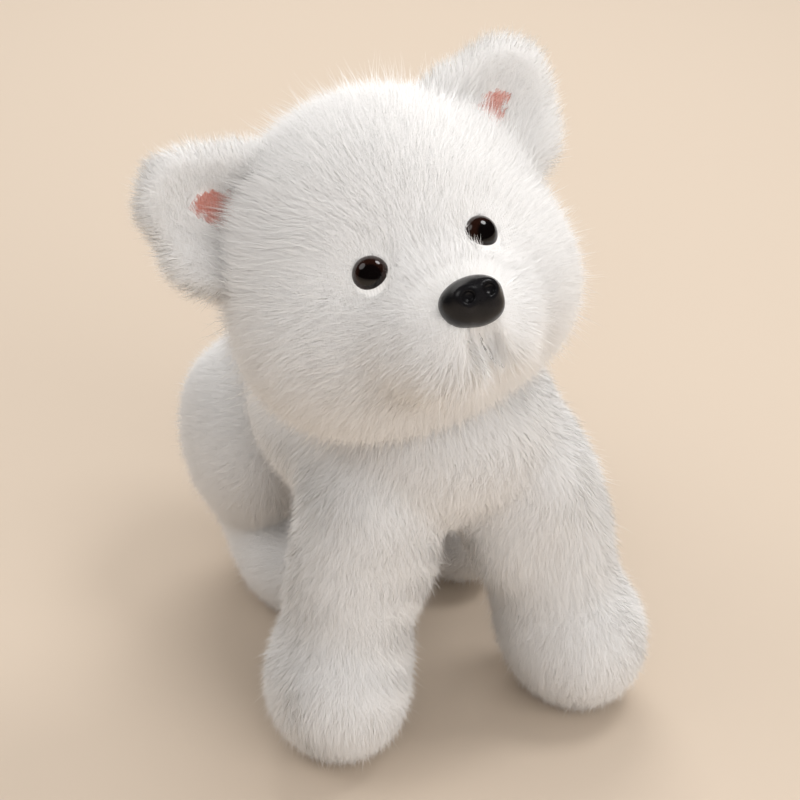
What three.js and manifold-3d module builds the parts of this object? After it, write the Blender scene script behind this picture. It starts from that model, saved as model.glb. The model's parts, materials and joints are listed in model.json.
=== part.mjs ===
// A white plush puppy that stands on four legs, head raised and tilted to its right.
// Millimetres, +Z up. The dog looks along -Y and its left side is +X.
// Every soft outline is a union of ellipsoids, so one skin is the outline less a smaller copy of itself.

import * as THREE from 'three';
import { mergeVertices } from 'three/addons/utils/BufferGeometryUtils.js';
import Module from 'manifold-3d';

const wasm = await Module();
wasm.setup();

// ---------------------------------------------------------------- driving dimensions

const X_AXIS = new THREE.Vector3( 1, 0, 0 );

// Fabric: the wall is the backing with its pile, measured to the tips of the pile.
const BODY_WALL = 5;
const HEAD_WALL = 9;
const EAR_LINING_WALL = 2.6;
const FILL_GAP = 1;

// Head: place of the skull's centre, and its turn about X, Y and Z.
const HEAD_CENTRE = new THREE.Vector3( - 21, 5, 190 );
const HEAD_PITCH = THREE.MathUtils.degToRad( 20 );
const HEAD_ROLL = THREE.MathUtils.degToRad( 11 );
const HEAD_YAW = THREE.MathUtils.degToRad( - 0.5 );

// Neck joint: a disc on a stud in the head, held by a plate and a lock washer in the torso.
const NECK_BASE = new THREE.Vector3( - 8, 20, 130 );
const SEAT_RADIUS = 62.7;
const DISC_RADIUS = 18.5;
const DISC_THICKNESS = 3;
const DISC_DEPTH = 39;
const STUD_RADIUS = 4;
const STUD_END = 75;
const PLATE_DEPTH = 67.8;
const LOCK_RADIUS = 9;
const LOCK_THICKNESS = 1.5;

// Safety eyes, 12 mm across, on ribbed stems with a lock washer behind the fabric.
const EYE_RADIUS = 6;
const EYE_HEIGHT = 5;
const EYE_RECESS = 1.5;
const EYE_SPOT = new THREE.Vector3( 20.3, - 44.2, 8 );
const EYE_AIM = new THREE.Vector3( 0.33, - 0.93, 0.1 ).normalize();
const STEM_RADIUS = 1.6;
const WASHER_RADIUS = 6;
const WASHER_THICKNESS = 1.4;
const EYE_WASHER_DEPTH = 9.6;
const NOSE_WASHER_DEPTH = 6.6;
const STEM_SPARE = 3;

// Nose: a rounded triangle of plastic, 21 mm wide, turned a little to the dog's left.
const NOSE_SPOT = new THREE.Vector3( 1.8, - 70.5, - 6 );
const NOSE_RADII = [ 10.5, 8, 9 ];
const NOSE_TILT = THREE.MathUtils.degToRad( 10 );
const NOSE_TURN = THREE.MathUtils.degToRad( 5 );
const NOSTRIL_RADIUS = 1.7;
const NOSTRIL_SPREAD = 3.8;
const NOSTRIL_HEIGHT = 2.2;

// Ears: the middle of the base on the head, and the way each one points, for the left ear.
const EAR_BASE = new THREE.Vector3( 46, 5, 26 );
const EAR_AIM = new THREE.Vector3( 0.597, 0.03, 0.8 ).normalize();
const EAR_GAP = 3.5;

// Legs and tail: swing of each joint in degrees, used to cut the room that it needs.
const LEG_SWING = 12;
const TAIL_SWING = 20;
const JOINT_GAP = 1.8;
const SWING_STEPS = 2;
const FILL_ROOM = 6;

const THREAD_RADIUS = 0.6;
const RUNNING_GAP = 0.6;

// Numbers of segments round and along each ellipsoid.
const FINE = [ 16, 10 ];
const PLAIN = [ 12, 8 ];
const COARSE = [ 8, 6 ];
const ROUND_SIDES = 14;

// ---------------------------------------------------------------- outlines, as lists of ellipsoids

const TORSO = [
	{ at: [ 0, 14, 121 ], radii: [ 41, 42, 34 ] }, // chest
	{ at: [ 0, 55, 103 ], radii: [ 56, 62, 38 ] }, // trunk
	{ at: [ 0, 112, 100 ], radii: [ 47, 44, 43 ] }, // rump
	{ at: [ - 8, 18, 136 ], radii: [ 38, 36, 34 ] }, // neck
];

const HEAD = [
	{ at: [ 0, 4, 1 ], radii: [ 60, 52, 62 ] }, // skull
	{ at: [ 26, - 10, - 14 ], radii: [ 34, 36, 34 ] }, // left cheek
	{ at: [ - 26, - 10, - 14 ], radii: [ 34, 36, 34 ] }, // right cheek
	{ at: [ 0, - 38, - 14 ], radii: [ 30, 36, 23 ] }, // muzzle
];

// In each ear's frame. side is 1 for the dog's left ear, whose local X points away from the crown.
function ear( side ) {

	return [
		{ at: [ - 2 * side, 0, 6 ], radii: [ 28, 11, 23 ] }, // base, wider on the side of the crown
		{ at: [ 0, 0.5, 22 ], radii: [ 18, 9.5, 18 ] }, // rounded tip
	];

}

const EAR_CUP = [ { at: [ 0, - 11, 11 ], radii: [ 17, 9, 21 ] } ];

const TAIL = [
	{ at: [ 0, 146, 126 ], radii: [ 14, 14, 14 ] }, // root
	{ at: [ 0, 156, 142 ], radii: [ 13, 15, 24 ] }, // tip
];

// side is 1 for the dog's left and -1 for its right.
function frontLeg( side ) {

	return [
		{ at: [ 33 * side, 4, 95 ], radii: [ 20.5, 27, 27 ] }, // shoulder
		{ at: [ 41 * side, - 1, 56 ], radii: [ 23, 25, 47 ] }, // shank
		{ at: [ 48.5 * side, - 9, 26 ], radii: [ 26.5, 30.5, 28.5 ] }, // paw
	];

}

function hindLeg( side ) {

	return [
		{ at: [ 45 * side, 112, 67 ], radii: [ 25, 40, 36 ] }, // haunch
		{ at: [ 36 * side, 116, 38 ], radii: [ 19, 23, 28 ] }, // hock
		{ at: [ 35 * side, 91, 20 ], radii: [ 21, 33, 22 ] }, // foot
	];

}

// ---------------------------------------------------------------- solids

// A closed manifold solid from a closed three.js geometry.
function toSolid( geometry ) {

	const bare = geometry.clone();
	bare.deleteAttribute( 'normal' );
	bare.deleteAttribute( 'uv' );
	const merged = mergeVertices( bare, 1e-4 );
	const corners = merged.index.array;
	const faces = [];
	for ( let i = 0; i < corners.length; i += 3 ) {

		const [ a, b, c ] = [ corners[ i ], corners[ i + 1 ], corners[ i + 2 ] ];
		if ( a !== b && b !== c && c !== a ) faces.push( a, b, c );

	}

	return new wasm.Manifold( new wasm.Mesh( {
		numProp: 3,
		vertProperties: new Float32Array( merged.attributes.position.array ),
		triVerts: new Uint32Array( faces ),
	} ) );

}

function toGeometry( solid ) {

	const mesh = solid.getMesh();
	const geometry = new THREE.BufferGeometry();
	geometry.setAttribute( 'position', new THREE.BufferAttribute( mesh.vertProperties, 3 ) );
	geometry.setIndex( new THREE.BufferAttribute( mesh.triVerts, 1 ) );
	geometry.computeVertexNormals();
	return geometry;

}

function ellipsoid( { at, radii }, shrink, segments ) {

	const geometry = new THREE.SphereGeometry( 1, segments[ 0 ], segments[ 1 ] );
	geometry.rotateX( Math.PI / 2 );
	geometry.scale( radii[ 0 ] - shrink, radii[ 1 ] - shrink, radii[ 2 ] - shrink );
	geometry.translate( at[ 0 ], at[ 1 ], at[ 2 ] );
	return geometry;

}

// The union of an outline's ellipsoids, each smaller by shrink all round.
function outline( parts, shrink = 0, segments = FINE, matrix = new THREE.Matrix4() ) {

	let solid = null;
	for ( const part of parts ) {

		const next = toSolid( ellipsoid( part, shrink, segments ).applyMatrix4( matrix ) );
		solid = solid ? solid.add( next ) : next;

	}

	return solid;

}

// A round bar along Z from low to high.
function bar( radius, low, high ) {

	const geometry = new THREE.CylinderGeometry( radius, radius, high - low, ROUND_SIDES );
	geometry.rotateX( Math.PI / 2 );
	geometry.translate( 0, 0, ( low + high ) / 2 );
	return geometry;

}

// A flat ring along Z from low to high.
function ring( outer, inner, low, high ) {

	return toSolid( bar( outer, low, high ) ).subtract( toSolid( bar( inner, low - 1, high + 1 ) ) );

}

// Cuts away everything below a height. At the floor this leaves a flat sole.
function cutBelow( solid, height ) {

	const size = 400;
	const below = new THREE.BoxGeometry( size, size, size );
	below.translate( 0, 0, height - size / 2 );
	return solid.subtract( toSolid( below ) );

}

// Matrix that turns by angle degrees about an axis through a point.
function turnAbout( point, axis, angle ) {

	const [ x, y, z ] = point;
	return new THREE.Matrix4().makeTranslation( x, y, z )
		.multiply( new THREE.Matrix4().makeRotationAxis( axis, THREE.MathUtils.degToRad( angle ) ) )
		.multiply( new THREE.Matrix4().makeTranslation( - x, - y, - z ) );

}

// The room that a swinging limb sweeps inside the torso, with a gap all round. Its root turns in place,
// and its last ellipsoid never reaches the torso.
function swept( limb ) {

	const [ root, ...rest ] = limb.parts.slice( 0, 2 );
	let solid = toSolid( ellipsoid( root, - JOINT_GAP, PLAIN ) );
	for ( let i = 0; i <= SWING_STEPS; i ++ ) {

		const angle = limb.swing * ( 2 * i / SWING_STEPS - 1 );
		solid = solid.add( outline( rest, - JOINT_GAP, COARSE, turnAbout( root.at, limb.axis, angle ) ) );

	}

	return solid;

}

// Matrix that puts local Z along aim, at a place, with local X kept level.
function aimed( place, aim ) {

	const z = aim.clone().normalize();
	const x = new THREE.Vector3().crossVectors( new THREE.Vector3( 0, 1, 0 ), z ).normalize();
	const y = new THREE.Vector3().crossVectors( z, x );
	return new THREE.Matrix4().makeBasis( x, y, z ).setPosition( place );

}

// ---------------------------------------------------------------- materials

function material( color, roughness ) {

	return new THREE.MeshStandardMaterial( { color, roughness, metalness: 0 } );

}

const whitePlush = () => material( 0xf4f1ec, 0.95 );
const pinkPlush = () => material( 0xe7a397, 0.95 );
const fibre = () => material( 0xfafafa, 1 );
const blackGloss = () => material( 0x0b0908, 0.08 );
const blackSatin = () => material( 0x0d0c0c, 0.3 );
const nylon = () => material( 0xe6e4df, 0.5 );
const thread = () => material( 0x4a3a38, 0.8 );

// ---------------------------------------------------------------- assembly

const dog = new THREE.Group();

// Places a solid, or a geometry, as a named piece in a group.
function piece( name, shape, skin, parent = dog ) {

	const geometry = shape.isBufferGeometry ? shape : toGeometry( shape );
	const mesh = new THREE.Mesh( geometry, skin );
	mesh.name = name;
	parent.add( mesh );
	return mesh;

}

const headGroup = new THREE.Group();
headGroup.position.copy( HEAD_CENTRE );
headGroup.rotation.set( - HEAD_PITCH, - HEAD_ROLL, HEAD_YAW, 'ZXY' );
headGroup.updateMatrix();
dog.add( headGroup );

const neckGroup = new THREE.Group();
const neckMatrix = aimed( HEAD_CENTRE, HEAD_CENTRE.clone().sub( NECK_BASE ) );
neckGroup.applyMatrix4( neckMatrix );
dog.add( neckGroup );

// ---- torso

const SIDES = [ [ 'left', 1 ], [ 'right', - 1 ] ];

// Where each limb is hinged to the torso.
const limbs = [];
for ( const [ side, sign ] of SIDES ) {

	const front = frontLeg( sign );
	const hind = hindLeg( sign );
	limbs.push( { name: `leg_front_${ side }`, parts: front, axis: X_AXIS, swing: LEG_SWING } );
	limbs.push( { name: `leg_hind_${ side }`, parts: hind, axis: X_AXIS, swing: LEG_SWING } );

}

const tailAxis = new THREE.Vector3( 0, 0.85, - 0.53 ).normalize();
limbs.push( { name: 'tail', parts: TAIL, axis: tailAxis, swing: TAIL_SWING } );

// The ball that the head's underside turns in.
function seat( radius ) {

	return toSolid( ellipsoid( { at: HEAD_CENTRE.toArray(), radii: [ radius, radius, radius ] }, 0, FINE ) );

}

function torsoSkin() {

	const outer = outline( TORSO ).subtract( seat( SEAT_RADIUS ) );
	const inner = outline( TORSO, BODY_WALL, COARSE ).subtract( seat( SEAT_RADIUS + BODY_WALL ) );
	const hole = bar( STUD_RADIUS + RUNNING_GAP, - STUD_END, - DISC_DEPTH ).applyMatrix4( neckMatrix );
	const plateRoom = bar( DISC_RADIUS + RUNNING_GAP, - STUD_END - FILL_GAP, - PLATE_DEPTH + RUNNING_GAP );
	plateRoom.applyMatrix4( neckMatrix );
	let skin = outer.subtract( inner ).subtract( toSolid( hole ) ).subtract( toSolid( plateRoom ) );
	for ( const limb of limbs ) {

		skin = skin.subtract( swept( limb ) );

	}

	return skin;

}

function torsoStuffing() {

	const depth = BODY_WALL + FILL_GAP;
	const plateRoom = bar( DISC_RADIUS + FILL_GAP, - STUD_END - FILL_GAP, - SEAT_RADIUS );
	let fill = outline( TORSO, depth, COARSE ).subtract( seat( SEAT_RADIUS + depth ) );
	fill = fill.subtract( toSolid( plateRoom.applyMatrix4( neckMatrix ) ) );
	for ( const limb of limbs ) {

		fill = fill.subtract( outline( limb.parts.slice( 0, 2 ), - FILL_ROOM, COARSE ) );

	}

	return fill;

}

piece( 'torso_skin', torsoSkin(), whitePlush() );
piece( 'torso_stuffing', torsoStuffing(), fibre() );

// The opening that the torso is filled through, closed by a zigzag of thread under the belly.
function closingStitch() {

	const start = 42;
	const pitch = 4;
	const count = 8;
	const halfWidth = 1.6;
	const points = [];
	for ( let i = 0; i <= count; i ++ ) {

		const y = start + pitch * i;
		const reach = ( y - TORSO[ 1 ].at[ 1 ] ) / TORSO[ 1 ].radii[ 1 ];
		const depth = TORSO[ 1 ].radii[ 2 ] * Math.sqrt( 1 - reach * reach );
		const x = i % 2 === 0 ? - halfWidth : halfWidth;
		points.push( new THREE.Vector3( x, y, TORSO[ 1 ].at[ 2 ] - depth - 2 * THREAD_RADIUS ) );

	}

	return threadAlong( points, 2 * count );

}

// A tube of thread through the given points.
function threadAlong( points, steps ) {

	const section = new THREE.Shape();
	section.absarc( 0, 0, THREAD_RADIUS, 0, 2 * Math.PI, false );
	const extrudePath = new THREE.CatmullRomCurve3( points );
	return new THREE.ExtrudeGeometry( section, { steps, curveSegments: 3, extrudePath } );

}

piece( 'belly_closing_stitch', toSolid( closingStitch() ), thread() );

// ---- legs and tail: a skin that is open where it is sewn to the torso, and its filling

function limbSkin( parts ) {

	const inner = outline( parts, BODY_WALL, COARSE );
	const mouth = parts[ 0 ];
	const inward = new THREE.Vector3( - mouth.at[ 0 ], 0, 0 );
	if ( mouth.at[ 0 ] === 0 ) inward.set( 0, - 1, - 1 );
	const opening = bar( mouth.radii[ 0 ] / 2, 0, mouth.radii[ 0 ] + BODY_WALL );
	opening.applyMatrix4( aimed( new THREE.Vector3( ...mouth.at ), inward ) );
	const skin = cutBelow( outline( parts, 0, PLAIN ), 0 ).subtract( cutBelow( inner, BODY_WALL ) );
	return skin.subtract( toSolid( opening ) );

}

for ( const limb of limbs ) {

	const fill = outline( limb.parts, BODY_WALL + FILL_GAP, COARSE );
	piece( `${ limb.name }_skin`, limbSkin( limb.parts ), whitePlush() );
	piece( `${ limb.name }_stuffing`, cutBelow( fill, BODY_WALL + FILL_GAP ), fibre() );

}

// ---- head

const eyeMatrices = SIDES.map( ( [ , sign ] ) => {

	const mirror = new THREE.Vector3( sign, 1, 1 );
	const aim = EYE_AIM.clone().multiply( mirror );
	const spot = EYE_SPOT.clone().multiply( mirror ).addScaledVector( aim, - EYE_RECESS + RUNNING_GAP );
	return aimed( spot, aim );

} );

// The nose's frame: local Z out of the face, local X across it and local Y up it.
function noseFrame() {

	const level = Math.cos( NOSE_TILT );
	const z = new THREE.Vector3(
		level * Math.sin( NOSE_TURN ), - level * Math.cos( NOSE_TURN ), Math.sin( NOSE_TILT ) );
	const x = new THREE.Vector3().crossVectors( z, new THREE.Vector3( 0, 0, - 1 ) ).normalize();
	const y = new THREE.Vector3().crossVectors( z, x );
	return new THREE.Matrix4().makeBasis( x, y, z ).setPosition( NOSE_SPOT );

}

const noseMatrix = noseFrame();

// The neck's frame as the head sees it.
const neckInHead = headGroup.matrix.clone().invert().multiply( neckMatrix );

// The hollow that a lock washer presses into the back of the fabric.
function washerRoom( depth ) {

	return bar( WASHER_RADIUS + RUNNING_GAP, - 2 * depth, - depth + RUNNING_GAP );

}

function headSkin() {

	let skin = outline( HEAD ).subtract( outline( HEAD, HEAD_WALL, COARSE ) );
	const studHole = bar( STUD_RADIUS + RUNNING_GAP, - STUD_END, - DISC_DEPTH );
	skin = skin.subtract( toSolid( studHole.applyMatrix4( neckInHead ) ) );
	const discRoom = bar( DISC_RADIUS + RUNNING_GAP, - DISC_DEPTH - DISC_THICKNESS - RUNNING_GAP, 0 );
	skin = skin.subtract( toSolid( discRoom.applyMatrix4( neckInHead ) ) );
	const stemHole = STEM_RADIUS + RUNNING_GAP;
	for ( const matrix of eyeMatrices ) {

		const recess = bar( EYE_RADIUS + 1.2, - RUNNING_GAP, 3 * EYE_HEIGHT );
		const hole = bar( stemHole, - 2 * EYE_WASHER_DEPTH, 0 );
		skin = skin.subtract( toSolid( recess.applyMatrix4( matrix ) ) );
		skin = skin.subtract( toSolid( hole.applyMatrix4( matrix ) ) );
		skin = skin.subtract( toSolid( washerRoom( EYE_WASHER_DEPTH ).applyMatrix4( matrix ) ) );

	}

	const noseRecess = bar( 1, - RUNNING_GAP, 3 * NOSE_RADII[ 2 ] );
	noseRecess.scale( NOSE_RADII[ 0 ] + 1, NOSE_RADII[ 1 ] + 1, 1 );
	skin = skin.subtract( toSolid( noseRecess.applyMatrix4( noseMatrix ) ) );
	const noseHole = bar( stemHole, - 2 * NOSE_WASHER_DEPTH, 0 );
	skin = skin.subtract( toSolid( noseHole.applyMatrix4( noseMatrix ) ) );
	return skin.subtract( toSolid( washerRoom( NOSE_WASHER_DEPTH ).applyMatrix4( noseMatrix ) ) );

}

function headStuffing() {

	let fill = outline( HEAD, HEAD_WALL + FILL_GAP, COARSE );
	const discRoom = bar( DISC_RADIUS + FILL_GAP, - STUD_END, - DISC_DEPTH + FILL_GAP );
	fill = fill.subtract( toSolid( discRoom.applyMatrix4( neckInHead ) ) );
	for ( const matrix of [ ...eyeMatrices, noseMatrix ] ) {

		const room = bar( WASHER_RADIUS + FILL_GAP, - EYE_WASHER_DEPTH - STEM_SPARE - FILL_GAP, 0 );
		fill = fill.subtract( toSolid( room.applyMatrix4( matrix ) ) );

	}

	return fill;

}

piece( 'head_skin', headSkin(), whitePlush(), headGroup );
piece( 'head_stuffing', headStuffing(), fibre(), headGroup );

// The ring that grips an eye's or the nose's stem behind the fabric.
function lockWasher( depth ) {

	return ring( WASHER_RADIUS, STEM_RADIUS + 0.35, - depth - WASHER_THICKNESS, - depth );

}

// A domed eye and its stem in one turned piece.
function eyeShape() {

	const stemEnd = - EYE_WASHER_DEPTH - STEM_SPARE;
	const profile = new THREE.Path();
	profile.moveTo( 0, stemEnd );
	profile.lineTo( STEM_RADIUS, stemEnd + 1 );
	profile.lineTo( STEM_RADIUS, 0 );
	profile.lineTo( EYE_RADIUS - 0.5, 0 );
	profile.absellipse( 0, 0.6, EYE_RADIUS, EYE_HEIGHT - 0.6, 0, Math.PI / 2, false );
	const geometry = new THREE.LatheGeometry( profile.getPoints( 4 ), ROUND_SIDES );
	return geometry.rotateX( Math.PI / 2 );

}

SIDES.forEach( ( [ side ], i ) => {

	const group = new THREE.Group();
	group.applyMatrix4( eyeMatrices[ i ] );
	headGroup.add( group );
	piece( `eye_${ side }`, toSolid( eyeShape() ), blackGloss(), group );
	piece( `eye_washer_${ side }`, lockWasher( EYE_WASHER_DEPTH ), nylon(), group );

} );

// The nose pad: half an ellipsoid on a stem, with two round nostrils.
function noseShape() {

	const size = 60;
	const behind = new THREE.BoxGeometry( size, size, size );
	behind.translate( 0, 0, - size / 2 );
	let pad = toSolid( ellipsoid( { at: [ 0, 0, 0 ], radii: NOSE_RADII }, 0, FINE ) ).subtract( toSolid( behind ) );
	pad = pad.add( toSolid( bar( STEM_RADIUS, - NOSE_WASHER_DEPTH - STEM_SPARE, 1 ) ) );
	for ( const [ , sign ] of SIDES ) {

		const x = sign * NOSTRIL_SPREAD;
		const reach = ( x / NOSE_RADII[ 0 ] ) ** 2 + ( NOSTRIL_HEIGHT / NOSE_RADII[ 1 ] ) ** 2;
		const depth = NOSE_RADII[ 2 ] * Math.sqrt( 1 - reach );
		const radii = [ NOSTRIL_RADIUS, NOSTRIL_RADIUS, NOSTRIL_RADIUS ];
		pad = pad.subtract( toSolid( ellipsoid( { at: [ x, NOSTRIL_HEIGHT, depth ], radii }, 0, COARSE ) ) );

	}

	return pad;

}

const noseGroup = new THREE.Group();
noseGroup.applyMatrix4( noseMatrix );
headGroup.add( noseGroup );
piece( 'nose', noseShape(), blackSatin(), noseGroup );
piece( 'nose_washer', lockWasher( NOSE_WASHER_DEPTH ), nylon(), noseGroup );

// The mouth: a line of thread down the middle of the muzzle that hooks to the dog's left.
function mouthStitch() {

	const muzzle = HEAD[ 3 ];
	const stand = 2 * THREAD_RADIUS;
	const route = [ [ 0, - 17.5 ], [ 0, - 20.5 ], [ 0.6, - 23.5 ], [ 3, - 26 ], [ 6.5, - 26 ] ];
	const points = route.map( ( [ x, z ] ) => {

		const across = x / ( muzzle.radii[ 0 ] + stand );
		const down = ( z - muzzle.at[ 2 ] ) / ( muzzle.radii[ 2 ] + stand );
		const out = ( muzzle.radii[ 1 ] + stand ) * Math.sqrt( 1 - across * across - down * down );
		return new THREE.Vector3( x, muzzle.at[ 1 ] - out, z );

	} );

	return threadAlong( points, 10 );

}

piece( 'mouth_stitch', toSolid( mouthStitch() ), thread(), headGroup );

// ---- neck joint

const discLow = - DISC_DEPTH - DISC_THICKNESS;
const disc = toSolid( bar( DISC_RADIUS, discLow, - DISC_DEPTH ) );
piece( 'neck_disc', disc.add( toSolid( bar( STUD_RADIUS, - STUD_END, - DISC_DEPTH - 1 ) ) ), nylon(), neckGroup );
const plateLow = - PLATE_DEPTH - DISC_THICKNESS;
const plate = ring( DISC_RADIUS, STUD_RADIUS + RUNNING_GAP, plateLow, - PLATE_DEPTH );
piece( 'neck_plate', plate, nylon(), neckGroup );
const lockHigh = plateLow - RUNNING_GAP;
const lock = ring( LOCK_RADIUS, STUD_RADIUS + RUNNING_GAP, lockHigh - LOCK_THICKNESS, lockHigh );
piece( 'neck_lock_washer', lock, nylon(), neckGroup );

// ---- ears

SIDES.forEach( ( [ side, sign ] ) => {

	const mirror = new THREE.Vector3( sign, 1, 1 );
	const group = new THREE.Group();
	group.applyMatrix4( aimed( EAR_BASE.clone().multiply( mirror ), EAR_AIM.clone().multiply( mirror ) ) );
	headGroup.add( group );
	const room = outline( HEAD, - EAR_GAP, FINE, group.matrix.clone().invert() );
	const cup = outline( EAR_CUP, 0, PLAIN );
	const back = outline( ear( sign ), 0, PLAIN ).subtract( cup ).subtract( room );
	const liningFront = new THREE.Matrix4().makeTranslation( 0, - EAR_LINING_WALL, 0 );
	const lining = outline( EAR_CUP, 0.4, PLAIN ).intersect( outline( ear( sign ), 1.5, PLAIN ) )
		.subtract( outline( EAR_CUP, 0, PLAIN, liningFront ) ).subtract( room );
	piece( `ear_${ side }_back`, back, whitePlush(), group );
	piece( `ear_${ side }_lining`, lining, pinkPlush(), group );

} );

// ---------------------------------------------------------------- origin: middle of the footprint, on the floor

const box = new THREE.Box3().setFromObject( dog, true );
const middle = box.getCenter( new THREE.Vector3() );
dog.position.set( - middle.x, - middle.y, - box.min.z );

export default dog;
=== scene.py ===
"""Blender looks for the white plush puppy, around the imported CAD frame.

Every soft surface is worked out from the same ellipsoids as the CAD outlines. A pelt, the knitted
backing, lies below the outline, and strands of pile grow out of it to the outline.
Work is done in millimetres in the dog's own axes (the dog looks along -Y, its left is +X) and each
mesh is turned to metres in the row's frame as it is made.
"""

import json
import math
from itertools import product

import bpy
import numpy as np
from mathutils import Matrix, Vector


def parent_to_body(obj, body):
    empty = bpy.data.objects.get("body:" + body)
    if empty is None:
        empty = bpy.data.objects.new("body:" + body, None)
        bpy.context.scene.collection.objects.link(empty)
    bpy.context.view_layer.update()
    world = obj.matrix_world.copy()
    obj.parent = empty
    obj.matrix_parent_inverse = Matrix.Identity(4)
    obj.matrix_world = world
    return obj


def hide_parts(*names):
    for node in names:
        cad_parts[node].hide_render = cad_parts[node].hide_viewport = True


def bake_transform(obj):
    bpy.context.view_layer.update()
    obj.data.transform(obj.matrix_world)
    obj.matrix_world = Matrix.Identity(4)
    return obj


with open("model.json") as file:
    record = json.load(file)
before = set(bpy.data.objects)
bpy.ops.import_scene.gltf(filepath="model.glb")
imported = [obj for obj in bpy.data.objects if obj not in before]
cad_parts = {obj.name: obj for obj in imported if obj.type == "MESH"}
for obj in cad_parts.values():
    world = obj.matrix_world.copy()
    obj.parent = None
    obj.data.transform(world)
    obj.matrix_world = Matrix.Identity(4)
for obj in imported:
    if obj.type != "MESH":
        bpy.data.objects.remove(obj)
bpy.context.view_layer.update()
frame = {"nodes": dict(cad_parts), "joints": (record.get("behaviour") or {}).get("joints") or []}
MM = 0.001

# ---------------------------------------------------------------- driving dimensions (mm)

HEAD_CENTRE = np.array([-21.0, 5.0, 190.0])
HEAD_PITCH = math.radians(20)
HEAD_ROLL = math.radians(11)
HEAD_YAW = math.radians(-0.5)
NECK_BASE = np.array([-8.0, 20.0, 130.0])
DISC_DEPTH = 39.0
HEAD_TO_STUD_END = 77.0
SHOULDER = np.array([33.0, 4.0, 95.0])
HIP = np.array([45.0, 112.0, 67.0])
TAIL_ROOT = np.array([0.0, 146.0, 126.0])

# Each ellipsoid is a centre and three radii. The first four lists are in the dog's axes.
TORSO = [
    ((0, 14, 121), (41, 42, 34)),  # chest
    ((0, 55, 103), (56, 62, 38)),  # trunk
    ((0, 112, 100), (47, 44, 43)),  # rump
    ((-8, 18, 136), (38, 36, 34)),  # neck
]
FRONT_LEG = [
    (tuple(SHOULDER), (20.5, 27, 27)),
    ((41, -1, 56), (23, 25, 47)),  # shank
    ((48.5, -9, 26), (26.5, 30.5, 28.5)),  # paw
    ((22, 2, 78), (14, 20, 25)),  # web of the pelt between leg and chest
]
HIND_LEG = [
    (tuple(HIP), (25, 40, 36)),  # haunch
    ((36, 116, 38), (19, 23, 28)),  # hock
    ((35, 91, 20), (21, 33, 22)),  # foot
]
TAIL = [
    (tuple(TAIL_ROOT), (14, 14, 14)),
    ((0, 156, 142), (13, 15, 24)),
]
# The head's lists are in its own axes, with its centre as origin.
HEAD = [
    ((0, 4, 1), (60, 52, 62)),  # skull
    ((26, -10, -14), (34, 36, 34)),  # cheeks
    ((-26, -10, -14), (34, 36, 34)),
    ((0, -38, -14), (30, 36, 23)),  # muzzle
    ((9.5, -56, -22), (12, 14, 11)),  # puffs on each side of the mouth
    ((-9.5, -56, -22), (12, 14, 11)),
]
FACE_HOLLOWS = [
    ((2.4, -76, -25), (1.8, 4.2, 6)),  # below the nose, between the tufts of the muzzle
    ((4, -67, -39), (14, 11, 5.5)),  # under those tufts
]
# The ears' lists are in each ear's axes: X across, Y to the back, Z along it.
EAR = [
    ((-2, 0, 6), (28, 11, 23)),  # base
    ((0, 0.5, 22), (18, 9.5, 18)),  # tip
]
EAR_CUP = [((0, -11, 11), (17, 9, 21))]
# Where the left ear's axes start on the head, and the way the ear points.
EAR_BASE = np.array([46.0, 5.0, 26.0])
EAR_AIM = np.array([0.597, 0.03, 0.8])

SEED = 7
SIDES = (("left", 1), ("right", -1))


def joint(name):
    return next(j for j in frame["joints"] if j["name"] == name)


# The row's origin is the middle of the footprint, so the dog's axes are shifted by this much.
SHIFT = np.array(joint("leg_front_left_swing")["pos_m"]) / MM - SHOULDER


def rotation(axis, angle):
    return np.array(Matrix.Rotation(angle, 3, axis))


def unit(vectors):
    vectors = np.asarray(vectors, float)
    return vectors / np.maximum(np.linalg.norm(vectors, axis=-1, keepdims=True), 1e-9)


class Place:
    """Axes of a part inside the dog: turn @ local + origin."""

    def __init__(self, turn=np.eye(3), origin=(0, 0, 0)):
        self.turn = np.asarray(turn, float)
        self.origin = np.asarray(origin, float)

    def out(self, points):
        return np.asarray(points, float) @ self.turn.T + self.origin

    def into(self, points):
        return (np.asarray(points, float) - self.origin) @ self.turn

    def within(self, outer):
        return Place(outer.turn @ self.turn, outer.out(self.origin))


def aimed(origin, aim):
    """The place at origin whose Z axis points along aim."""
    z = unit(aim)
    x = unit(np.cross((0, 1, 0), z))
    y = np.cross(z, x)
    return Place(np.stack([x, y, z], axis=1), origin)


BODY = Place()
HEAD_PLACE = Place(
    rotation("Z", HEAD_YAW) @ rotation("X", -HEAD_PITCH) @ rotation("Y", -HEAD_ROLL), HEAD_CENTRE
)
EAR_PLACES = {
    side: aimed(EAR_BASE * (sign, 1, 1), EAR_AIM * (sign, 1, 1)).within(HEAD_PLACE)
    for side, sign in SIDES
}


def mirrored(parts):
    return [((-x, y, z), radii) for (x, y, z), radii in parts]


# ---------------------------------------------------------------- camera and light

CAMERA_AZIMUTH = math.radians(-19.9)
CAMERA_ELEVATION = math.radians(30)
CAMERA_DISTANCE = 882.7
CAMERA_TARGET = np.array([-12.6, 20.4, 125.8])
FIELD_OF_VIEW = math.radians(18.82)
# The lights and the floor are placed in metres, in the row's frame.
LIGHT_TARGET = (0, 0, 0.12)
WORLD_COLOR = (1.0, 0.97, 0.94)
WORLD_STRENGTH = 0.56
FLOOR_HALF_SIZE = 8.0
FLOOR_COLOR = (0.605, 0.507, 0.409)


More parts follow.
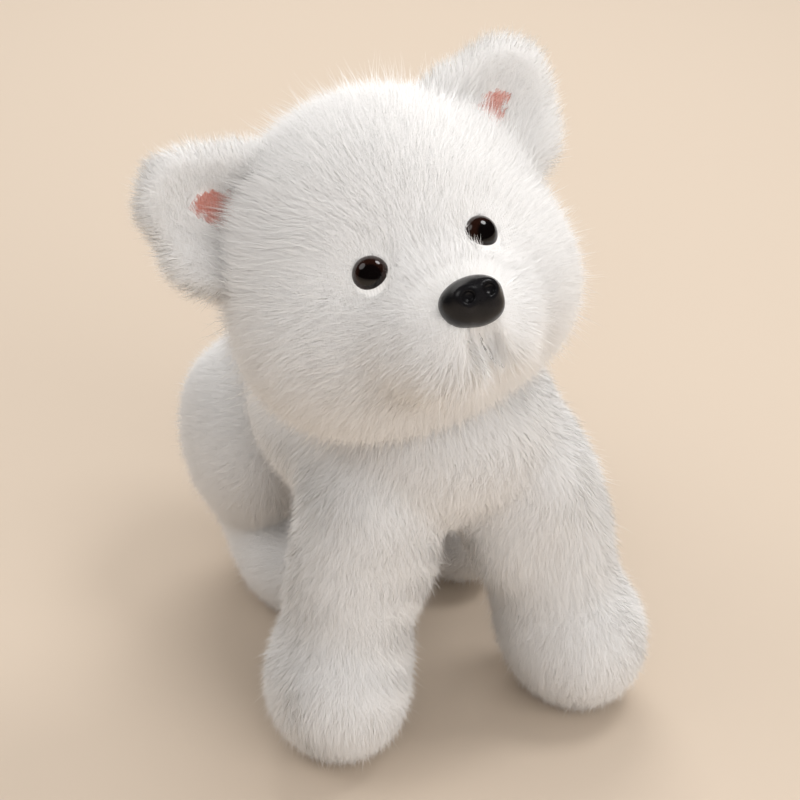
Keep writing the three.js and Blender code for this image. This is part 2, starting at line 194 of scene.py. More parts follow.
def camera():
    data = bpy.data.cameras.new("camera")
    data.angle = FIELD_OF_VIEW
    data.clip_start = 0.01
    o = bpy.data.objects.new("camera", data)
    bpy.context.collection.objects.link(o)
    level = math.cos(CAMERA_ELEVATION)
    back = Vector(
        (math.sin(CAMERA_AZIMUTH) * level, -math.cos(CAMERA_AZIMUTH) * level, math.sin(CAMERA_ELEVATION))
    )
    target = Vector((CAMERA_TARGET + SHIFT) * MM)
    o.location = target + back * CAMERA_DISTANCE * MM
    o.rotation_euler = back.to_track_quat("Z", "Y").to_euler()
    bpy.context.scene.camera = o


def area_light(name, place, size, power, color, glossy=True):
    data = bpy.data.lights.new(name, "AREA")
    data.shape = "DISK"
    data.size = size
    data.energy = power
    data.color = color
    o = bpy.data.objects.new(name, data)
    bpy.context.collection.objects.link(o)
    o.location = place
    o.visible_glossy = glossy
    aim = Vector(LIGHT_TARGET) - Vector(place)
    o.rotation_euler = aim.to_track_quat("-Z", "Y").to_euler()


def lights():
    """Soft lamps in front and at the sides, and one behind for the dog's back."""
    white = (1.0, 0.99, 0.98)
    warm = (1.0, 0.985, 0.97)
    warmer = (1.0, 0.98, 0.97)
    area_light("key", place=(0.55, 0.0, 1.1), size=0.4, power=3.7, color=white)
    area_light("front", place=(0.4, -1.15, 0.6), size=1.1, power=6.2, color=warm, glossy=False)
    area_light("fill", place=(-0.3, -1.1, 0.9), size=0.8, power=3.4, color=warmer, glossy=False)
    area_light("left", place=(-0.85, 0.15, 1.05), size=0.7, power=2.4, color=white)
    area_light("back", place=(0.3, 0.9, 1.0), size=0.8, power=8.0, color=white, glossy=False)
    world = bpy.data.worlds.new("studio")
    bpy.context.scene.world = world
    world.use_nodes = True
    background = world.node_tree.nodes["Background"]
    background.inputs["Color"].default_value = (*WORLD_COLOR, 1)
    background.inputs["Strength"].default_value = WORLD_STRENGTH
    world.cycles_visibility.glossy = False


def look():
    scene = bpy.context.scene
    scene.view_settings.view_transform = "Standard"
    scene.view_settings.look = "None"
    scene.cycles.diffuse_bounces = 8
    scene.cycles.max_bounces = 10


# ---------------------------------------------------------------- fields and surfaces

# How a rough mesh is drawn to its exact surface: the longest move of a point in one step, in mm, the
# least steepness of the field that is trusted, and how far a point goes towards its neighbours' middle.
LONGEST_MOVE = 3.0
LEAST_STEEPNESS = 0.05
RELAX_SHARE = 0.4


def ellipsoid_distance(points, centre, radii):
    """About the distance in mm from points to an ellipsoid, negative inside."""
    offset = points - np.asarray(centre, float)
    share = np.linalg.norm(offset / radii, axis=1)
    slope = np.linalg.norm(offset / np.square(radii), axis=1)
    return share * (share - 1) / np.maximum(slope, 1e-6)


def union(points, parts, softness):
    """Distance to a soft union of ellipsoids: softness is the size of the fillets in mm."""
    distances = np.stack([ellipsoid_distance(points, centre, radii) for centre, radii in parts])
    nearest = distances.min(axis=0)
    return nearest - softness * np.log(np.exp(-(distances - nearest) / softness).sum(axis=0))


class Form:
    """A soft shape: a field in its own axes, which is zero on the tips of the pile."""

    def __init__(self, place, parts, softness, cuts=(), cut_softness=1.5):
        self.place = place
        self.parts = parts
        self.softness = softness
        self.cuts = cuts
        self.cut_softness = cut_softness

    def field(self, points):
        soft = self.cut_softness
        distance = union(points, self.parts, self.softness)
        for cut in self.cuts:
            beyond = -union(points, [cut], self.softness)
            high = np.maximum(distance, beyond)
            shares = np.exp((distance - high) / soft) + np.exp((beyond - high) / soft)
            distance = high + soft * np.log(shares)
        return distance

    def gradient(self, points, step=0.3):
        slope = np.zeros_like(points)
        for axis in range(3):
            aside = np.zeros(3)
            aside[axis] = step
            slope[:, axis] = self.field(points + aside) - self.field(points - aside)
        return slope / (2 * step)

    def surface(self, depth, grain, steps=12):
        """Points and quads of the shape's skin, depth mm below its zero surface (a number or a rule)."""
        rough = rough_union(self.parts, grain)
        points = mesh_points(rough)
        polygons = [tuple(p.vertices) for p in rough.data.polygons]
        bpy.data.objects.remove(rough, do_unlink=True)
        for _ in range(steps):
            want = depth(points) if callable(depth) else depth
            slope = self.gradient(points)
            miss = self.field(points) + want
            steepness = np.maximum((slope * slope).sum(axis=1), LEAST_STEEPNESS)
            move = -(miss / steepness)[:, None] * slope
            size = np.linalg.norm(move, axis=1, keepdims=True)
            points = points + move * np.minimum(1, LONGEST_MOVE / np.maximum(size, 1e-9))
            points = relaxed(points, polygons, self.gradient(points))
        return points, polygons


def along_surface(vectors, normals):
    """The vectors less their share along the normals."""
    return vectors - (vectors * normals).sum(axis=1, keepdims=True) * normals


def relaxed(points, polygons, gradient):
    """Evens out the spacing of the points by moves along the surface."""
    total = np.zeros_like(points)
    count = np.zeros(len(points))
    quads = np.array(polygons)
    for a, b in ((0, 1), (1, 2), (2, 3), (3, 0)):
        for i, j in ((a, b), (b, a)):
            np.add.at(total, quads[:, i], points[quads[:, j]])
            np.add.at(count, quads[:, i], 1)
    toward = total / np.maximum(count, 1)[:, None] - points
    return points + RELAX_SHARE * along_surface(toward, unit(gradient))


def rough_union(parts, grain):
    """A voxel mesh round the ellipsoids, as a start for the exact surface."""
    points = []
    faces = []
    rings = 16
    sides = 24
    for centre, radii in parts:
        start = len(points)
        for i in range(rings + 1):
            polar = math.pi * i / rings
            for j in range(sides):
                turn = 2 * math.pi * j / sides
                spot = (
                    math.sin(polar) * math.cos(turn),
                    math.sin(polar) * math.sin(turn),
                    math.cos(polar),
                )
                points.append([c + r * s for c, r, s in zip(centre, radii, spot)])
        for i in range(rings):
            for j in range(sides):
                k = (j + 1) % sides
                upper = start + i * sides
                lower = upper + sides
                faces.append((upper + j, lower + j, lower + k, upper + k))
    data = bpy.data.meshes.new("rough")
    data.from_pydata(points, [], faces)
    o = bpy.data.objects.new("rough", data)
    bpy.context.collection.objects.link(o)
    bpy.context.view_layer.objects.active = o
    remesh = o.modifiers.new("remesh", "REMESH")
    remesh.mode = "VOXEL"
    remesh.voxel_size = grain
    remesh.adaptivity = 0
    bpy.ops.object.modifier_apply(modifier=remesh.name)
    return o


def mesh_points(o):
    points = np.empty(len(o.data.vertices) * 3)
    o.data.vertices.foreach_get("co", points)
    return points.reshape(-1, 3)


def to_row(points):
    """Dog's millimetres to the row's metres."""
    return (points + SHIFT) * MM


def new_mesh(name, points, polygons, materials):
    data = bpy.data.meshes.new(name)
    data.from_pydata(points.tolist(), [], polygons)
    for m in materials:
        data.materials.append(m)
    data.shade_smooth()
    o = bpy.data.objects.new(name, data)
    bpy.context.collection.objects.link(o)
    return o


# ---------------------------------------------------------------- materials


def principled(name, color, roughness, **sockets):
    m = bpy.data.materials.new(name)
    m.use_nodes = True
    shader = m.node_tree.nodes["Principled BSDF"]
    shader.inputs["Base Color"].default_value = (*color, 1)
    shader.inputs["Roughness"].default_value = roughness
    for socket, value in sockets.items():
        shader.inputs[socket.replace("_", " ")].default_value = value
    return m


def node(m, kind, **inputs):
    n = m.node_tree.nodes.new(kind)
    for socket, value in inputs.items():
        n.inputs[socket.replace("_", " ")].default_value = value
    return n


def ramp_between(m, factor, low, high, start=0.3, end=0.7):
    """Base Color runs from low to high as the factor goes from start to end."""
    ramp = m.node_tree.nodes.new("ShaderNodeValToRGB")
    ramp.color_ramp.elements[0].position = start
    ramp.color_ramp.elements[0].color = (*low, 1)
    ramp.color_ramp.elements[1].position = end
    ramp.color_ramp.elements[1].color = (*high, 1)
    links = m.node_tree.links
    links.new(factor, ramp.inputs["Fac"])
    links.new(ramp.outputs["Color"], m.node_tree.nodes["Principled BSDF"].inputs["Base Color"])


def bump_from(m, height, strength, distance):
    bump = node(m, "ShaderNodeBump", Strength=strength, Distance=distance)
    links = m.node_tree.links
    links.new(height, bump.inputs["Height"])
    links.new(bump.outputs["Normal"], m.node_tree.nodes["Principled BSDF"].inputs["Normal"])


def coordinates(m):
    return m.node_tree.nodes.new("ShaderNodeTexCoord").outputs["Object"]


def noise_of(m, scale, detail=3.0):
    n = node(m, "ShaderNodeTexNoise", Scale=scale, Detail=detail)
    m.node_tree.links.new(coordinates(m), n.inputs["Vector"])
    return n.outputs["Fac"]


def knitted(name, low, high):
    """The backing that the pile grows from: fine rows of knit loops."""
    m = principled(name, high, 0.95)
    wave = node(m, "ShaderNodeTexWave", Scale=320.0, Distortion=2.0, Detail=2.0)
    m.node_tree.links.new(coordinates(m), wave.inputs["Vector"])
    ramp_between(m, noise_of(m, 260.0), low, high)
    bump_from(m, wave.outputs["Fac"], 0.35, 0.0004)
    return m


def fibrous(name, low, high):
    m = principled(name, high, 1.0)
    ramp_between(m, noise_of(m, 90.0, 8.0), low, high)
    bump_from(m, noise_of(m, 400.0, 6.0), 0.6, 0.001)
    return m


def moulded(name, low, high, roughness, grain, strength, **sockets):
    """Plastic or thread: faintly mottled, with a fine grain of the scale and strength given."""
    m = principled(name, high, roughness, **sockets)
    ramp_between(m, noise_of(m, 180.0), low, high)
    bump_from(m, noise_of(m, grain, 4.0), strength, 0.0001)
    return m


def pile_materials(name, shades):
    """Shades of one yarn. Strands take them at random, which is what mottles the pile."""
    return [
        principled(f"{name}_{i + 1}", shade, 0.62, Sheen_Weight=0.25, Sheen_Roughness=0.4)
        for i, shade in enumerate(shades)
    ]


WHITE_PILE = pile_materials(
    "white_pile",
    [
        (0.965, 0.955, 0.945),
        (0.95, 0.938, 0.925),
        (0.975, 0.967, 0.96),
        (0.94, 0.925, 0.905),
        (0.96, 0.95, 0.94),
    ],
)
PINK_PILE = pile_materials("pink_pile", [(0.88, 0.50, 0.43), (0.84, 0.43, 0.36), (0.90, 0.58, 0.51)])
WHITE_KNIT = knitted("white_knit", (0.88, 0.86, 0.84), (0.94, 0.93, 0.915))
PINK_KNIT = knitted("pink_knit", (0.62, 0.27, 0.22), (0.74, 0.36, 0.30))
FIBRE = fibrous("polyester_fibre", (0.82, 0.82, 0.83), (0.93, 0.93, 0.93))
NYLON = moulded(
    "natural_nylon", (0.74, 0.73, 0.70), (0.82, 0.81, 0.78), roughness=0.42, grain=900.0, strength=0.15
)
THREAD = moulded(
    "brown_thread", (0.05, 0.03, 0.028), (0.10, 0.07, 0.06), roughness=0.75, grain=2500.0, strength=0.8
)
WHITE_THREAD = moulded(
    "white_thread", (0.75, 0.74, 0.72), (0.85, 0.84, 0.82), roughness=0.7, grain=2500.0, strength=0.8
)
NOSE_PLASTIC = moulded(
    "nose_plastic",
    (0.005, 0.005, 0.006),
    (0.011, 0.01, 0.011),
    roughness=0.27,
    grain=1400.0,
    strength=0.1,
    Specular_IOR_Level=0.28,
)


def eye_material():
    """A black pupil in a dark brown iris, under a clear polished dome."""
    pupil = (0.003, 0.002, 0.002)
    iris = (0.016, 0.006, 0.004)
    black = (0.004, 0.003, 0.003)
    m = principled(
        "eye_plastic", black, 0.12, Specular_IOR_Level=0.3, Coat_Weight=0.4, Coat_Roughness=0.02
    )
    radius = m.node_tree.nodes.new("ShaderNodeAttribute")
    radius.attribute_name = "radius"
    ramp_between(m, radius.outputs["Fac"], pupil, iris, start=0.56, end=0.7)
    return m


EYE_PLASTIC = eye_material()


# ---------------------------------------------------------------- pile

# A strand is a ribbon with two points across its root, two across its middle and one at its tip.
STATIONS = np.array([0.0, 0.52, 1.0])
WIDTHS = np.array([1.0, 0.85])
HALF_WIDTH = 0.055
SIDE_TWIST = 1.2
STRAND_POINTS = 5
STRANDS_PER_PIECE = 60000

# What makes one strand differ from the next: lengths as shares, the lean in radians, ripples and
# tufts in mm. A few guard hairs are longer than the rest.
SHORTEST = 0.72
LONGEST = 1.2
GUARD_SHARE = 0.04
LEAN_SPREAD = 0.16
CURL = 0.06
RIPPLE_LENGTH = 22.0
RIPPLE_PULL = 1.4
TUFT_SPACING = 2.2
# Large odd factors that turn a cube of space into three numbers that look random.
CUBE_FACTORS = np.array([73856093, 19349663, 83492791])
SEED_FACTOR = 2654435761
JITTER_FACTORS = (31, 57, 97)
JITTER_STEPS = 1023


def waves(points, length, seed):
    """A smooth random vector at each point, with ripples about length mm long."""
    rng = np.random.default_rng(seed)
    total = np.zeros_like(points)
    for _ in range(6):
        ripple = unit(rng.normal(size=3)) * 2 * math.pi / (length * rng.uniform(0.7, 1.5))
        total += np.sin(points @ ripple + rng.uniform(0, 2 * math.pi))[:, None] * rng.normal(size=3)
    return total / 3


def tuft_in(cube, seed):
    """The spot of the one tuft in each cube of space."""
    mixed = (cube * CUBE_FACTORS).sum(axis=1) ^ (seed * SEED_FACTOR)
    jitter = [((mixed * factor) >> 7 & JITTER_STEPS) / JITTER_STEPS for factor in JITTER_FACTORS]
    return (cube + np.stack(jitter, axis=1)) * TUFT_SPACING


def nearest_tuft(points, seed):
    """The centre of the tuft that each point belongs to."""
    own_cube = np.floor(points / TUFT_SPACING).astype(np.int64)
    best = np.full(len(points), np.inf)
    centre = np.zeros_like(points)
    for aside in product((-1, 0, 1), repeat=3):
        spot = tuft_in(own_cube + aside, seed)
        distance = ((spot - points) ** 2).sum(axis=1)
        near = distance < best
        best[near] = distance[near]
        centre[near] = spot[near]
    return centre


class Coat:
    """How the pile lies on a surface, in the surface's own axes.

    comb, length (mm), lean (radians from upright) and density (strands to the square mm) are rules of
    points and normals, or numbers. pull draws strands to their tuft, frizz stirs the comb, and guard
    is how many times longer a guard hair is.
    """

    def __init__(self, comb, length, lean, density, pull=0.06, frizz=0.2, guard=1.25):
        self.comb = comb
        self.length = length
        self.lean = lean
        self.density = density
        self.pull = pull
        self.frizz = frizz
        self.guard = guard


def value_of(rule, points, normals):
    return rule(points, normals) if callable(rule) else np.full(len(points), float(rule))


def scatter(points, polygons, density, form, rng):
    """Root points on a surface of quads, density strands to the square mm, and their normals."""
    quads = np.array(polygons)
    a, b, c, d = (points[quads[:, i]] for i in range(4))
    area = 0.5 * np.linalg.norm(np.cross(c - a, d - b), axis=1)
    middle = (a + b + c + d) / 4
    want = area * value_of(density, middle, unit(form.gradient(middle)))
    count = np.floor(want + rng.random(len(want))).astype(int)
    which = np.repeat(np.arange(len(quads)), count)
    u = rng.random(len(which))[:, None]
    v = rng.random(len(which))[:, None]
    roots = (1 - u) * (1 - v) * a[which] + u * (1 - v) * b[which]
    roots = roots + u * v * c[which] + (1 - u) * v * d[which]
    return roots, unit(form.gradient(roots))


def grow(form, points, polygons, coat, seed, keep_out=None):
    """Strands of pile on a surface: their centre lines and normals in the form's axes, and the draws."""
    rng = np.random.default_rng(seed)
    root, normals = scatter(points, polygons, coat.density, form, rng)
    size = len(root)
    length = value_of(coat.length, root, normals) * rng.uniform(SHORTEST, LONGEST, size)
    length = np.where(rng.random(size) < GUARD_SHARE, length * coat.guard, length)
    lean = value_of(coat.lean, root, normals) + rng.normal(0, LEAN_SPREAD, size)
    comb = coat.comb(root, normals) + coat.frizz * RIPPLE_PULL * waves(root, RIPPLE_LENGTH, seed)
    comb = unit(along_surface(comb + coat.frizz * rng.normal(size=(size, 3)), normals))
    rise = np.cos(lean)[:, None] * normals
    run = np.sin(lean)[:, None] * comb
    tuft = along_surface(nearest_tuft(root, seed) - root, normals)
    pull = coat.pull * rng.uniform(0.4, 1.2, size)[:, None]
    curl = rng.normal(size=(size, 3)) * CURL
    lines = []
    for s in STATIONS:
        stand = s * (1.25 - 0.25 * s)
        lie = s * (0.8 + 0.2 * s)
        step = rise * stand + run * lie + curl * s * s
        lines.append(root + step * length[:, None] + tuft * pull * s**1.5)
    lines = np.stack(lines, axis=1)
    if keep_out is not None:
        lines = keep_out(lines)
    return lines, normals, rng


def ribbons(lines, normals, rng):
    """Tapered ribbons along centre lines: their points and shading normals."""
    size = len(lines)
    along = unit(lines[:, -1] - lines[:, 0])
    side = unit(np.cross(along, normals))
    up = unit(np.cross(side, along))
    up = np.where((up * normals).sum(axis=1, keepdims=True) < 0, -up, up)
    side = np.cross(along, up)
    twist = rng.uniform(-SIDE_TWIST, SIDE_TWIST, size)[:, None]
    across = np.cos(twist) * side + np.sin(twist) * up
    half = HALF_WIDTH * rng.uniform(0.75, 1.25, size)[:, None]
    rows = []
    for i, share in enumerate(WIDTHS):
        rows.append(lines[:, i] - across * half * share)
        rows.append(lines[:, i] + across * half * share)
    rows.append(lines[:, 2])
    points = np.stack(rows, axis=1).reshape(-1, 3)
    # almost the surface's own normals, so that the coat is shaded as one soft body
    shade = unit(0.95 * normals + 0.1 * up)
    return points, np.repeat(shade, STRAND_POINTS, axis=0)


# The corners of a ribbon's quad and of the triangle at its tip, and where each starts in the list.
RIBBON_FACES = [(0, 1, 3, 2), (2, 3, 4)]
RIBBON_STARTS = np.array([0, 4])


def ribbon_mesh(name, points, shade, materials, slots):
    """One mesh of many ribbons, with shading normals taken from the surface below."""
    size = len(points) // STRAND_POINTS
    data = bpy.data.meshes.new(name)
    data.vertices.add(len(points))
    data.vertices.foreach_set("co", to_row(points).astype(np.float32).ravel())
    corners = np.array([corner for face in RIBBON_FACES for corner in face])
    data.loops.add(size * len(corners))
    index = (np.arange(size)[:, None] * STRAND_POINTS + corners[None, :]).ravel()
    data.loops.foreach_set("vertex_index", index.astype(np.int32))
    data.polygons.add(size * len(RIBBON_FACES))
    starts = (np.arange(size)[:, None] * len(corners) + RIBBON_STARTS[None, :]).ravel()
    data.polygons.foreach_set("loop_start", starts.astype(np.int32))
    for m in materials:
        data.materials.append(m)
    data.polygons.foreach_set("material_index", np.repeat(slots, len(RIBBON_FACES)).astype(np.int32))
    data.update(calc_edges=True)
    data.shade_smooth()
    data.normals_split_custom_set_from_vertices(shade.astype(np.float32))
    o = bpy.data.objects.new(name, data)
    bpy.context.collection.objects.link(o)
    return o


def pile(name, form, points, polygons, coat, seed, materials, attach, keep_out=None):
    """Grows a region's pile and makes its pieces. attach is called on each piece: it gives the body the
    piece rides on, or keeps the piece where it stands.
    """
    lines, normals, rng = grow(form, points, polygons, coat, seed, keep_out)
    slots = rng.integers(0, len(materials), len(lines))
    place = form.place
    pieces = math.ceil(len(lines) / STRANDS_PER_PIECE)
    for i, part in enumerate(np.array_split(np.arange(len(lines)), pieces)):
        piece_points, shade = ribbons(lines[part], normals[part], rng)
        o = ribbon_mesh(
            f"{name}_{i + 1}", place.out(piece_points), shade @ place.turn.T, materials, slots[part]
        )
        attach(o)


# ---------------------------------------------------------------- forms


def from_side(parts, sign):
    return parts if sign > 0 else mirrored(parts)


LEGS = [part for _, sign in SIDES for part in from_side(FRONT_LEG + HIND_LEG, sign)]
BODY_FORM = Form(BODY, TORSO + LEGS + TAIL, 6.0)
HEAD_FORM = Form(HEAD_PLACE, HEAD, 7.0, cuts=FACE_HOLLOWS, cut_softness=1.2)
EAR_FORMS = {
    side: Form(EAR_PLACES[side], from_side(EAR, sign), 3.0, cuts=EAR_CUP, cut_softness=3.5)
    for side, sign in SIDES
}

# How deep the body's knit lies below the tips of the pile, and the sizes of the meshes' quads.
PELT_DEPTH = 4.5
GRAIN = 3.0
HEAD_GRAIN = 2.0
# The lowest that the soles' knit and the pile may reach.
SOLE_HEIGHT = 1.2
LOWEST_PILE = 0.25
# Strands to the square mm.
HEAD_DENSITY = 7.4
BODY_DENSITY = 6.4
EAR_DENSITY = 6.5
LINING_DENSITY = 9.0


def smooth_step(x, low, high):
    t = np.clip((x - low) / (high - low), 0, 1)
    return t * t * (3 - 2 * t)


EYE_SPOT = np.array([20.3, -44.2, 8.0])
EYE_AIM = np.array([0.33, -0.93, 0.1])
EYE_RADIUS = 6.3
EYE_HEIGHT = 5.2
EYE_RECESS = 1.3
# Points lower than this on an eye's own Z axis are too far behind it to count.
BEHIND_EYE = -14
EYE_PLACES = {
    side: aimed((EYE_SPOT - unit(EYE_AIM) * EYE_RECESS) * (sign, 1, 1), EYE_AIM * (sign, 1, 1))
    for side, sign in SIDES
}

NOSE_SPOT = np.array([1.8, -70.5, -6.0])
NOSE_TILT = math.radians(10)
NOSE_TURN = math.radians(5)
NOSE_RADII = np.array([10.5, 8.0, 9.0])


def nose_place():
    z = np.array([math.sin(NOSE_TURN), -math.cos(NOSE_TURN) * math.cos(NOSE_TILT), math.sin(NOSE_TILT)])
    z = unit(z)
    x = unit(np.cross(z, (0, 0, -1)))
    return Place(np.stack([x, np.cross(z, x), z], axis=1), NOSE_SPOT)


NOSE_PLACE = nose_place()


def from_eye(points):
    """Distance in mm from the nearer eye's axis on the front of the head, far away on the back."""
    best = np.full(len(points), 99.0)
    for place in EYE_PLACES.values():
        local = place.into(points)
        radius = np.hypot(local[:, 0], local[:, 1])
        best = np.where(local[:, 2] > BEHIND_EYE, np.minimum(best, radius), best)
    return best


def from_nose(points):
    """1 on the rim of the nose, less inside it, and large on the back of the head."""
    local = NOSE_PLACE.into(points)
    return np.hypot(local[:, 0] / NOSE_RADII[0], local[:, 1] / NOSE_RADII[1]) + (local[:, 2] < -12) * 9


# The mouth shows where its thread hooks to the dog's left, as x and z on the face.
MOUTH_START = np.array([4.8, -28.5])
MOUTH_END = np.array([7.6, -32.2])


def from_mouth(points):
    """Distance in mm from the part of the mouth that shows, seen from the front, and large behind."""
    line = MOUTH_END - MOUTH_START
    flat = points[:, [0, 2]] - MOUTH_START
    share = np.clip(flat @ line / (line @ line), 0, 1)
    return np.linalg.norm(flat - share[:, None] * line, axis=1) + (points[:, 1] > -45) * 99


def head_depth(points):
    """The pelt lies deeper where the pile is longer."""
    face = smooth_step(-points[:, 1], 12, 48)
    return 8.0 - 3.2 * face


DOWN_IN_HEAD = np.array([0.0, 0.0, -1.0]) @ HEAD_PLACE.turn


def head_comb(points, normals):
    """The pile runs away from the nose, and down on the back of the head."""
    away = unit(points - NOSE_SPOT)
    comb = away + 0.6 * smooth_step(points[:, 1], -50, 10)[:, None] * DOWN_IN_HEAD
    # the pile runs up each ear where it leaves the crown
    for _, sign in SIDES:
        base = EAR_BASE * (sign, 1, 1)
        near = 1 - smooth_step(np.linalg.norm(points - base, axis=1), 18, 36)
        comb = comb + 1.6 * near[:, None] * unit(EAR_AIM * (sign, 1, 1))
    # the pile parts round each eye
    for place in EYE_PLACES.values():
        local = place.into(points)
        radius = np.hypot(local[:, 0], local[:, 1])
        near = (1 - smooth_step(radius, 7, 15)) * (local[:, 2] > BEHIND_EYE)
        outward = (local * (1, 1, 0) / np.maximum(radius, 1)[:, None]) @ place.turn.T
        comb = comb + 1.4 * near[:, None] * outward
    return comb


def head_length(points, normals):
    """Long on the jaw, at the ears and in the muzzle's tufts, short round the eyes, mouth and nose."""
    x, y, z = points.T
    face = smooth_step(-y, 0, 46)
    low = smooth_step(-z, -5, 30)
    length = 10.5 - 4.0 * face + 2.5 * low * (1 - 0.7 * face)
    mirror = np.where(points[:, :1] < 0, -1, 1) * (1, 0, 0) + (0, 1, 1)
    from_ear = np.linalg.norm(points * mirror - EAR_BASE, axis=1)
    length += 3.0 * (1 - smooth_step(from_ear, 20, 34))
    tuft = smooth_step(-z, 16, 26) * smooth_step(z, -36, -30) * (y < -50)
    length += 3.0 * tuft * (np.abs(x) < 16)
    length *= 0.48 + 0.52 * smooth_step(from_eye(points), 6, 16)
    length *= 0.55 + 0.45 * smooth_step(from_mouth(points), 1, 5)
    return length * (0.45 + 0.55 * smooth_step(from_nose(points), 1.0, 2.6))


def head_density(points, normals):
    clear = (from_eye(points) > 5.5) & (from_nose(points) > 0.92) & (from_mouth(points) > 0.8)
    return np.where(clear, HEAD_DENSITY, 0.0)


def head_lean(points, normals):
    """The pile stands up more on the crown than on the face and jaw, and round the eyes."""
    crown = smooth_step(points[:, 2], 15, 50)
    eye_rim = 1 - smooth_step(from_eye(points), 6.5, 13)
    return 0.95 - 0.2 * crown - 0.25 * eye_rim


def clear_of_eyes(lines):
    """Bends strands out round the eyes, all but the tips of a few."""
    rng = np.random.default_rng(SEED)
    size, stations, _ = lines.shape
    over_rim = rng.random(size) < 0.08
    room = np.where(over_rim, rng.uniform(4.6, 6.2, size), rng.uniform(6.2, 6.9, size))
    room = np.repeat(room, stations)
    flat = lines.reshape(-1, 3)
    for place in EYE_PLACES.values():
        local = place.into(flat)
        radius = np.hypot(local[:, 0], local[:, 1])
        push = (radius < room) & (local[:, 2] > -5)
        local[push, :2] *= (room[push] / np.maximum(radius[push], 0.5))[:, None]
        flat = np.where(push[:, None], place.out(local), flat)
    return flat.reshape(lines.shape)


def body_comb(points, normals):
    """Down at the front, back and down behind, and up the tail."""
    back = smooth_step(points[:, 1], 20, 70)[:, None]
    tail = smooth_step(points[:, 2] + points[:, 1], 280, 292)[:, None]
    comb = np.array([0.0, -0.25, -1.0]) * (1 - back) + np.array([0.0, 1.0, -0.7]) * back
    return comb * (1 - tail) + np.array([0.0, 0.5, 1.0]) * tail


def body_length(points, normals):
    """A little longer higher up, and cropped under the soles."""
    low = smooth_step(points[:, 2], 5, 60)
    sole = smooth_step(points[:, 2], 1.5, 7)
    return (6.3 + 1.7 * low) * (0.3 + 0.7 * sole)


def body_density(points, normals):
    """Even, but sheared away under the head, where the neck joint sits."""
    outside_head = HEAD_FORM.field(HEAD_PLACE.into(points)) > -3
    return np.where(outside_head, BODY_DENSITY, 0.0)


def above_floor(lines):
    lines[:, :, 2] = np.maximum(lines[:, :, 2], LOWEST_PILE)
    return lines


def body_lean(points, normals):
    """The pile stands up a little more on the back half of the dog."""
    back = smooth_step(points[:, 1], 20, 70)
    return 0.95 - 0.17 * back


HEAD_COAT = Coat(head_comb, head_length, head_lean, head_density, pull=0.08, guard=1.7)
BODY_COAT = Coat(body_comb, body_length, body_lean, body_density, frizz=0.3, guard=1.4)


# The pink lining shows only low in the cup, in a slanted patch on the ear's side next to the crown.
PINK_SPOT = np.array([-4.5, 9.0])
PINK_RADII = np.array([5.6, 12.0])
PINK_SLANT = math.radians(-22)
# The pink knit goes a little under the white pile's rim.
PINK_KNIT_EDGE = 1.15
EAR_GRAIN = 1.6
EAR_PELT_DEPTH = 2.5


def in_pink(points, normals, sign):
    """1 on the rim of the pink lining of an ear, less inside it, and large outside the cup."""
    across, along = (points[:, [0, 2]] * (sign, 1) - PINK_SPOT).T
    sine = math.sin(PINK_SLANT)
    cosine = math.cos(PINK_SLANT)
    short_way = (cosine * across + sine * along) / PINK_RADII[0]
    long_way = (cosine * along - sine * across) / PINK_RADII[1]
    return np.hypot(short_way, long_way) + (normals[:, 1] > -0.3) * 9


def ragged(points):
    """Wanders the rim of the lining, so that white pile hangs over it in wisps."""
    return 0.3 * waves(points, 5.0, SEED)[:, 0]


def ear_comb(points, normals):
    """Up the ear, fanning a little to its sides."""
    return np.array([0.0, 0.25, 1.0]) + points * (0.03, 0, 0)


def ear_length(points, normals):
    """Shorter inside the cup."""
    cup = smooth_step(-normals[:, 1], 0.1, 0.6) * smooth_step(16 - np.abs(points[:, 0]), 0, 6)
    return 8.0 - 2.0 * cup


def ear_coats(sign):
    """The white coat of an ear and the pink one of its lining."""

    def white(points, normals):
        return np.where(in_pink(points, normals, sign) > 1 + ragged(points), EAR_DENSITY, 0.0)

    def pink(points, normals):
        return np.where(in_pink(points, normals, sign) <= 1 + ragged(points), LINING_DENSITY, 0.0)

    white_coat = Coat(ear_comb, ear_length, lean=0.85, density=white)
    pink_coat = Coat(ear_comb, length=2.2, lean=0.6, density=pink)
    return white_coat, pink_coat


# ---------------------------------------------------------------- pelts, fillings and pile


def split_by(points, polygons, label):
    """Cuts a mesh into the regions that label numbers. Yields each one's number, points and polygons."""
    quads = np.array(polygons)
    labels = label(points[quads].mean(axis=1))
    for number in np.unique(labels):
        own = quads[labels == number]
        used, index = np.unique(own, return_inverse=True)
        yield number, points[used], [tuple(q) for q in index.reshape(own.shape)]


# The body's skin belongs to the legs below these heights, but for a strip down its middle.
LEG_TOP = 88.0
HIND_TOP = 60.0
HALF_STRIP = 7.0
MIDDLE_OF_BACK = 50.0
TAIL_SIDE = 140.0
REGIONS = ["torso", "leg_front_left", "leg_front_right", "leg_hind_left", "leg_hind_right", "tail"]
TAIL_AIM = unit((0.0, 10.0, 16.0))
TAIL_START = 9.0


def body_region(points):
    """Which region each point of the body's pelt belongs to, as an index of REGIONS."""
    x, y, z = points.T
    left = x > 0
    beside_strip = np.abs(x) > HALF_STRIP
    near_leg = union(points, FRONT_LEG + mirrored(FRONT_LEG), 1) < 3
    front = (z < LEG_TOP) & (y < MIDDLE_OF_BACK) & beside_strip & near_leg
    hind = (z < HIND_TOP) & (y > MIDDLE_OF_BACK) & beside_strip
    along = (points - TAIL_ROOT) @ TAIL_AIM
    masks = {
        "leg_front_left": front & left,
        "leg_front_right": front & ~left,
        "leg_hind_left": hind & left,
        "leg_hind_right": hind & ~left,
        "tail": (along > TAIL_START) & (y > TAIL_SIDE),
    }
    label = np.full(len(points), REGIONS.index("torso"))
    for region, mask in masks.items():
        label[mask] = REGIONS.index(region)
    return label
